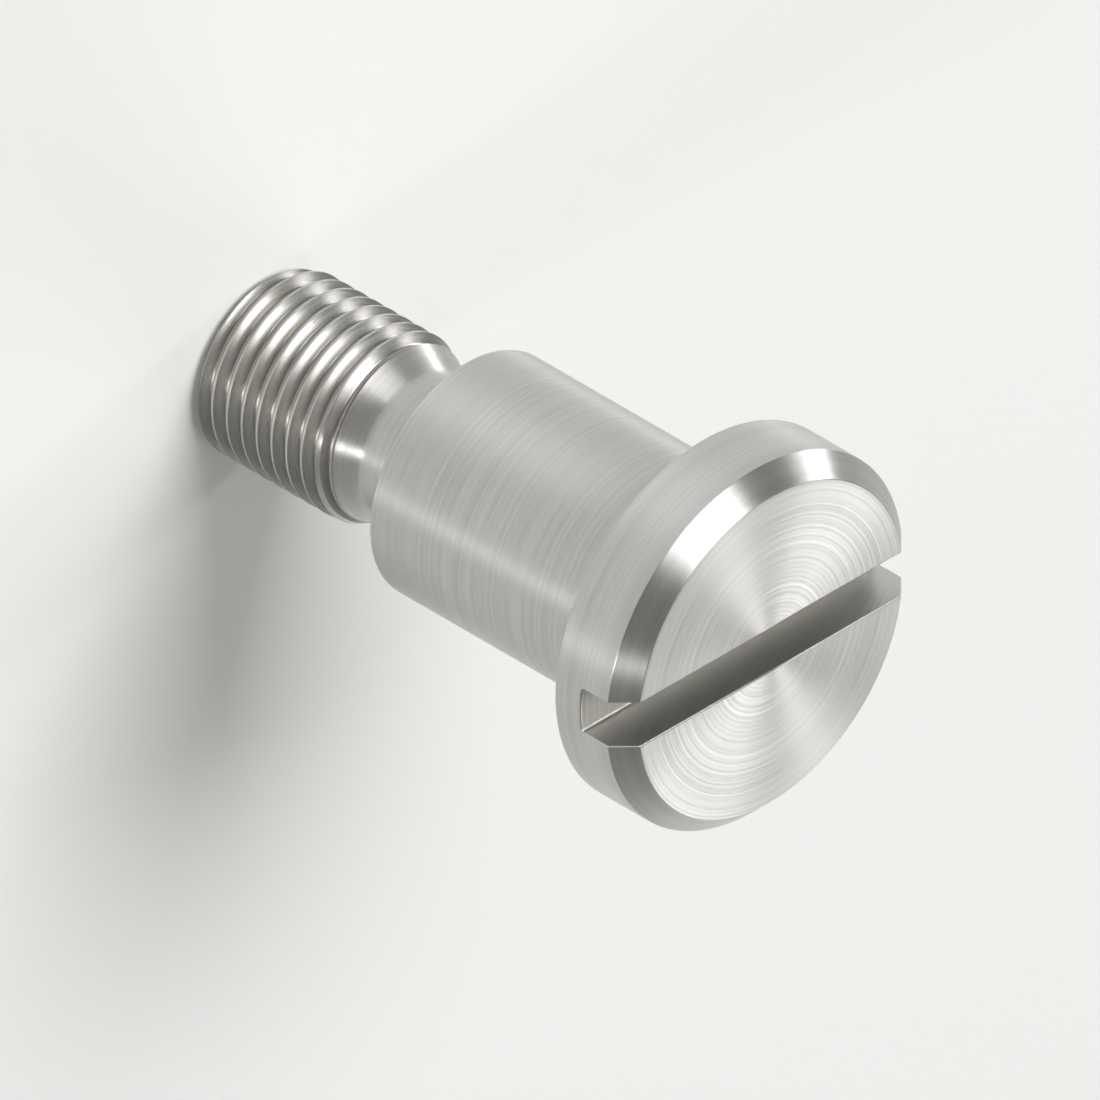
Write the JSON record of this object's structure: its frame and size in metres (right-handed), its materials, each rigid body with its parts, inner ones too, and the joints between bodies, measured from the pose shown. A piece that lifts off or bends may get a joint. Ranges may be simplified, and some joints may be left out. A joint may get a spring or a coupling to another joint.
{
  "type": "shoulder bolt",
  "caption": "Slotted shoulder bolt: a flat chamfered head, a plain cylindrical shoulder that works as a journal, a relief groove, and a fine right-hand metric thread.",
  "frame": {"origin": "on the screw's axis, in the plane of the seat, which is the lower face of the shoulder", "axes": "+Z along the screw's axis from the thread to the head; X along the screwdriver slot. It stands on the flat face of the thread's tip, with the slotted head on top"},
  "size_m": [0.02, 0.02, 0.0342],
  "materials": {
    "steel": "bright turned stainless steel, fine turning marks, milled slot"
  },
  "bodies": {
    "root": {"shoulder_bolt": "steel"}
  },
  "joints": []
}
